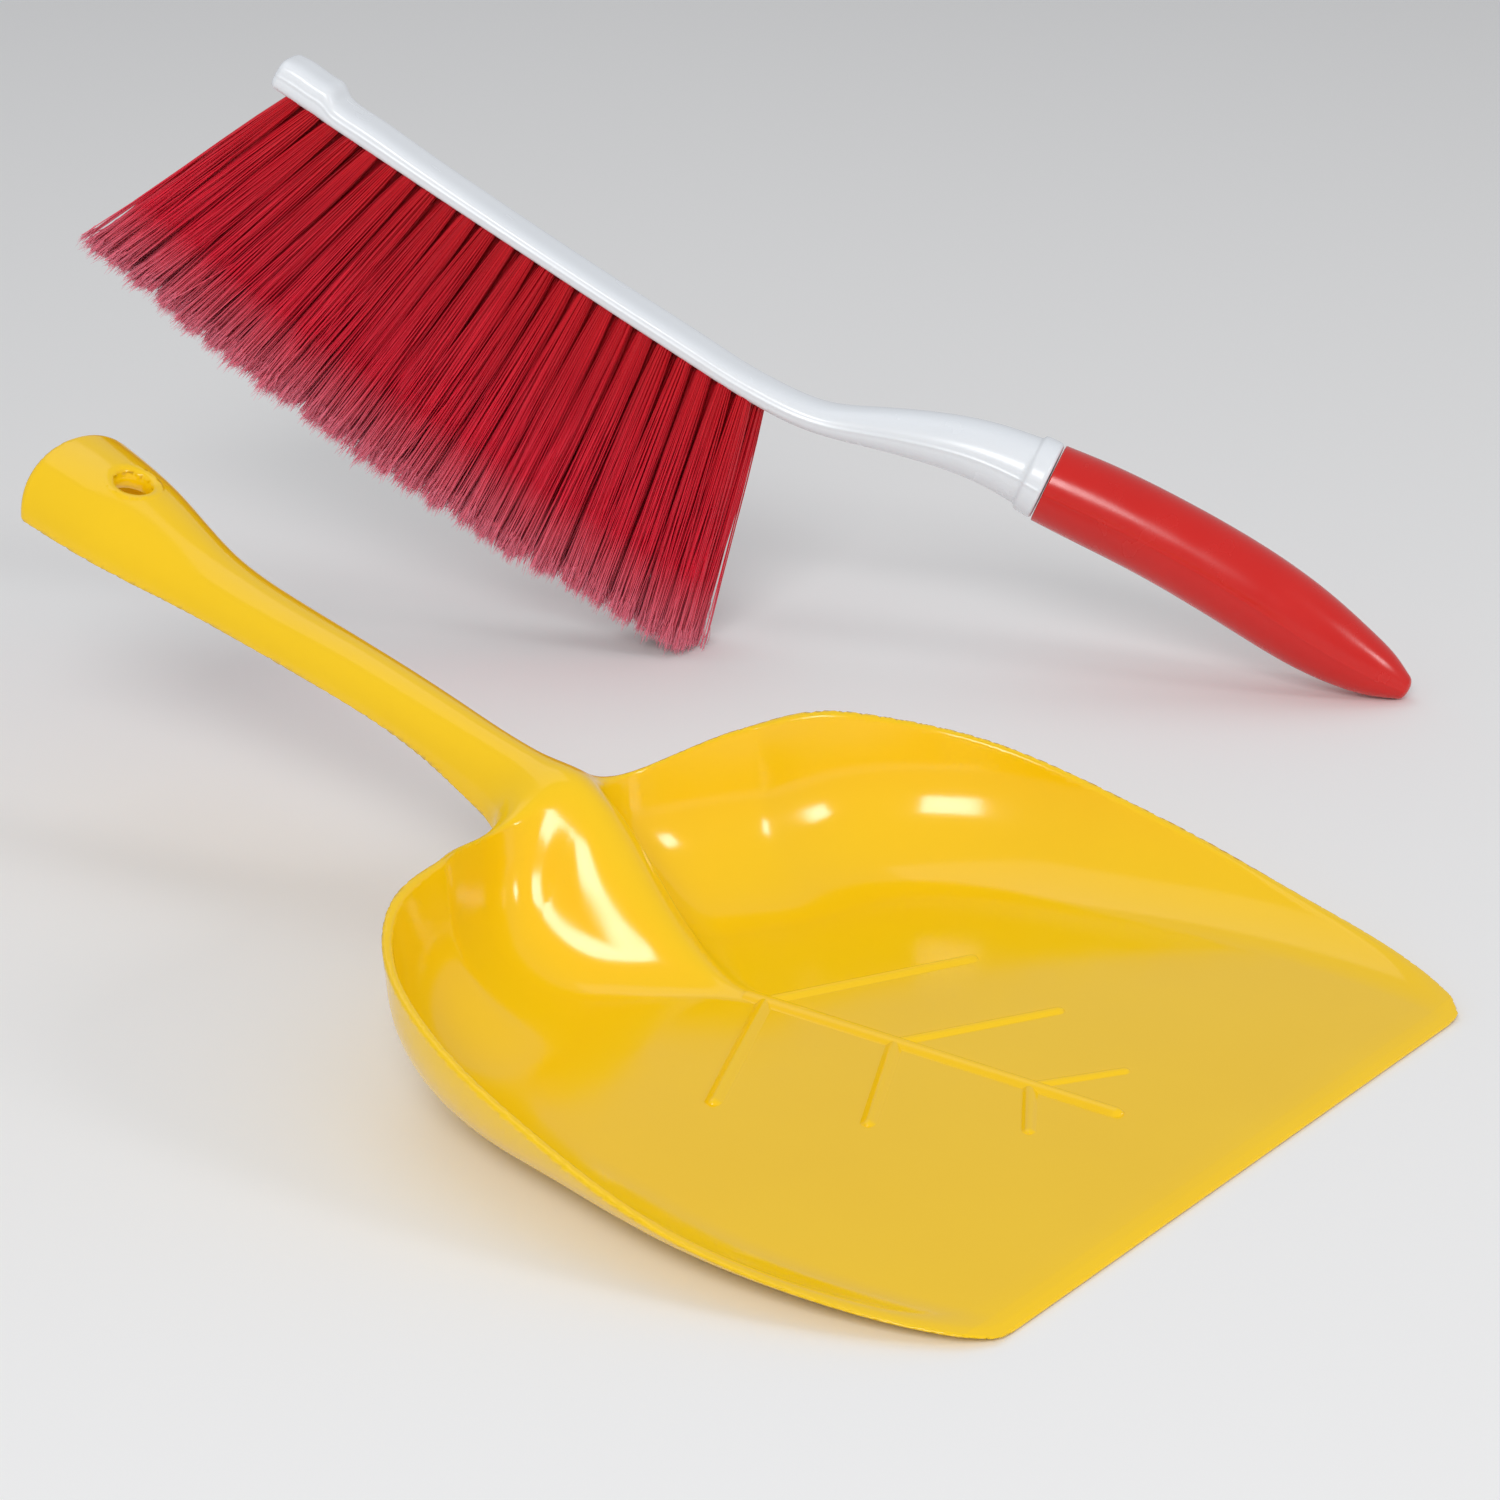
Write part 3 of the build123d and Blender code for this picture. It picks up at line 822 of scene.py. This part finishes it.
class Tuft:
    """A bundle of filaments: where it starts, which way it points, and every filament's own draw."""

    def __init__(self, rng, share, row):
        n = FILAMENTS
        self.root = tuft_root(share, -STAGGER if row else STAGGER, ROW_Y * row)
        self.way = tuft_way(share, row)
        side = np.cross(self.way, (1.0, 0.0, 0.0))
        self.side = side / np.linalg.norm(side)
        self.fore = np.cross(self.side, self.way)
        spread = np.sqrt((np.arange(n) + 0.5) / n)
        turn = np.arange(n) * GOLDEN_TURN + rng.uniform(0, 6)
        self.disc = np.stack([spread * np.cos(turn), spread * np.sin(turn)], -1)
        self.disc += rng.normal(0, DISC_JITTER, (n, 2))
        # the ends are trimmed along one line, so filaments on one side of a splayed tuft are longer
        ahead = tuft_end(share + 0.01) - tuft_end(share - 0.01)
        slant = ahead @ self.way / (ahead @ self.fore)
        self.length = tuft_length(share) + slant * self.disc[:, 0] * TUFT_TIP_R
        self.length += rng.normal(0, LENGTH_JITTER, n)
        self.bend = rng.normal(0, BEND_EACH, (n, 2)) + rng.normal(0, BEND_TUFT, 2)
        loose = rng.random(n) < LOOSE_SHARE
        self.bend[loose] *= LOOSE_BEND
        self.ripple = rng.uniform(*RIPPLE, n)
        self.phase = rng.uniform(0, 6.28, n)
        self.tone = np.clip(rng.normal(*TONE, n), 0, 1)
        clump = rng.normal(0, CLUMP_SPREAD, (CLUMPS, 2))
        self.pulled = clump[rng.integers(0, CLUMPS, n)] * TUFT_TIP_R

    def offset(self, s):
        """Offset of the filaments from the tuft's axis at share s of their length."""
        grown = max(s, 0.0)
        base = self.disc * (TUFT_R + (TUFT_TIP_R - TUFT_R) * grown ** TUFT_OPENING)
        base += (self.pulled - base) * (CLUMP_PULL * grown ** 2.2)
        wave = np.stack([np.sin(9 * s + self.phase), np.cos(7 * s + self.phase)], -1)
        return base + self.bend * grown ** 2 + wave * self.ripple[:, None] * grown

    def ring(self, reach, off, radius, corners):
        """A small ring round every filament, at its reach along the tuft and its offset."""
        centre = self.root + self.way * (self.length * reach)[:, None]
        centre = centre + self.fore * off[:, :1] + self.side * off[:, 1:]
        turn = np.arange(corners) / corners * 2 * pi
        ring = (self.fore * np.cos(turn)[:, None] + self.side * np.sin(turn)[:, None]) * radius
        return centre[:, None, :] + ring[None]

    def add_filaments(self, strands):
        """The filaments up to where they are cut, a little thinner at the end."""
        rings = []
        for s in FILAMENT_AT:
            radius = FILAMENT_R * (1 - 0.25 * max(s, 0) ** 2)
            rings.append(self.ring(s, self.offset(s), radius, FILAMENT_CORNERS))
        strands.add(np.stack(rings, 1), np.clip(FILAMENT_AT * SPLIT_FROM, 0, 1), self.tone)

    def add_split(self, strands, rng):
        """One fine end that curls away from each filament."""
        flare = rng.normal(0, SPLIT_FLARE, (FILAMENTS, 2))
        curl = rng.normal(0, SPLIT_CURL, (FILAMENTS, 2))
        extra = rng.uniform(*SPLIT_LENGTH, FILAMENTS)
        rings = []
        for s, radius, grow in zip(SPLIT_AT, SPLIT_R, np.linspace(0, 1, len(SPLIT_AT))):
            reach = SPLIT_FROM + (s - SPLIT_FROM) * extra
            off = self.offset(1.0) + flare * grow ** 1.4 + curl * sin(3 * grow)
            rings.append(self.ring(reach, off, radius, SPLIT_CORNERS))
        strands.add(np.stack(rings, 1), SPLIT_ALONG, np.clip(self.tone + SPLIT_PALER, 0, 1))


def make_column(column):
    """The three tufts of one column, as one piece."""
    rng = np.random.default_rng(100 + column)
    strands = Strands()
    for row in (-1, 0, 1):
        tuft = Tuft(rng, column / (COLUMNS - 1), row)
        tuft.add_filaments(strands)
        for _ in range(SPLITS):
            tuft.add_split(strands, rng)
    cloud = stand(np.vstack(strands.points))
    cloud[:, 2] = np.maximum(cloud[:, 2], FLOOR_GAP)
    name = "bristles_%02d" % (column + 1)
    piece = make_piece(name, cloud, strands.faces, filament, "brush")
    for label, values in (("along", strands.along), ("tone", strands.tone)):
        held = piece.data.attributes.new(label, "FLOAT", "POINT")
        held.data.foreach_set("value", np.concatenate(values).astype(np.float32))
    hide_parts("tufts_%02d" % (column + 1))


for column in range(COLUMNS):
    make_column(column)

for side in ("left", "middle", "right"):
    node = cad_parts["anchors_" + side]
    node.data.materials.clear()
    node.data.materials.append(wire)

# ------------------------------------------------------------------
# Floor, light and camera
# ------------------------------------------------------------------
FLOOR_SIZE = 14
FLOOR_DROP = 0.0003       # keeps the floor just under the pan
WORLD_STRENGTH = 0.49

paper = bpy.data.materials.new("pale_floor")
paper.use_nodes = True
shader = paper.node_tree.nodes["Principled BSDF"]
shader.inputs["Base Color"].default_value = (0.9, 0.9, 0.9, 1)
shader.inputs["Roughness"].default_value = 0.8
bpy.ops.mesh.primitive_plane_add(size=FLOOR_SIZE, location=(0, 0, -FLOOR_DROP))
floor = bpy.context.object
floor.name = "floor"
floor.data.materials.append(paper)

world = bpy.data.worlds.new("studio")
world.use_nodes = True
sky = world.node_tree.nodes["Background"]
sky.inputs["Color"].default_value = (0.97, 0.98, 1.0, 1)
sky.inputs["Strength"].default_value = WORLD_STRENGTH
scene.world = world


def face(item, at, aim):
    """Put a lamp or the camera somewhere and turn it towards a point, in metres."""
    item.location = at
    item.rotation_mode = "QUATERNION"
    item.rotation_quaternion = (Vector(aim) - Vector(at)).to_track_quat("-Z", "Y")


def softbox(name, at, aim, wide, high, power):
    """Rectangular area light turned towards a point."""
    data = bpy.data.lights.new(name, "AREA")
    data.shape = "RECTANGLE"
    data.size = wide
    data.size_y = high
    data.energy = power
    lamp = bpy.data.objects.new(name, data)
    scene.collection.objects.link(lamp)
    face(lamp, at, aim)


# one window to the left of the camera, one to its right, and a soft bank above the brush
TRAY_MIDDLE = (0.0, 0.05, 0.03)
softbox("left", (-1.42, -0.78, 1.22), TRAY_MIDDLE, 0.75, 0.62, 18)
softbox("right", (0.56, -1.80, 0.88), TRAY_MIDDLE, 0.42, 0.42, 7)
softbox("top", (0.5, 0.9, 2.1), (0.1, 0.1, 0), 1.4, 1.4, 4)

lens = bpy.data.cameras.new("camera")
lens.lens = 84.0
lens.sensor_width = 36.0
lens.clip_start = 0.01
camera = bpy.data.objects.new("camera", lens)
scene.collection.objects.link(camera)
face(camera, (-0.6113, -0.4335, 0.3491), (0.14205, 0.1541, 0.0))
scene.camera = camera
scene.view_settings.view_transform = "Standard"
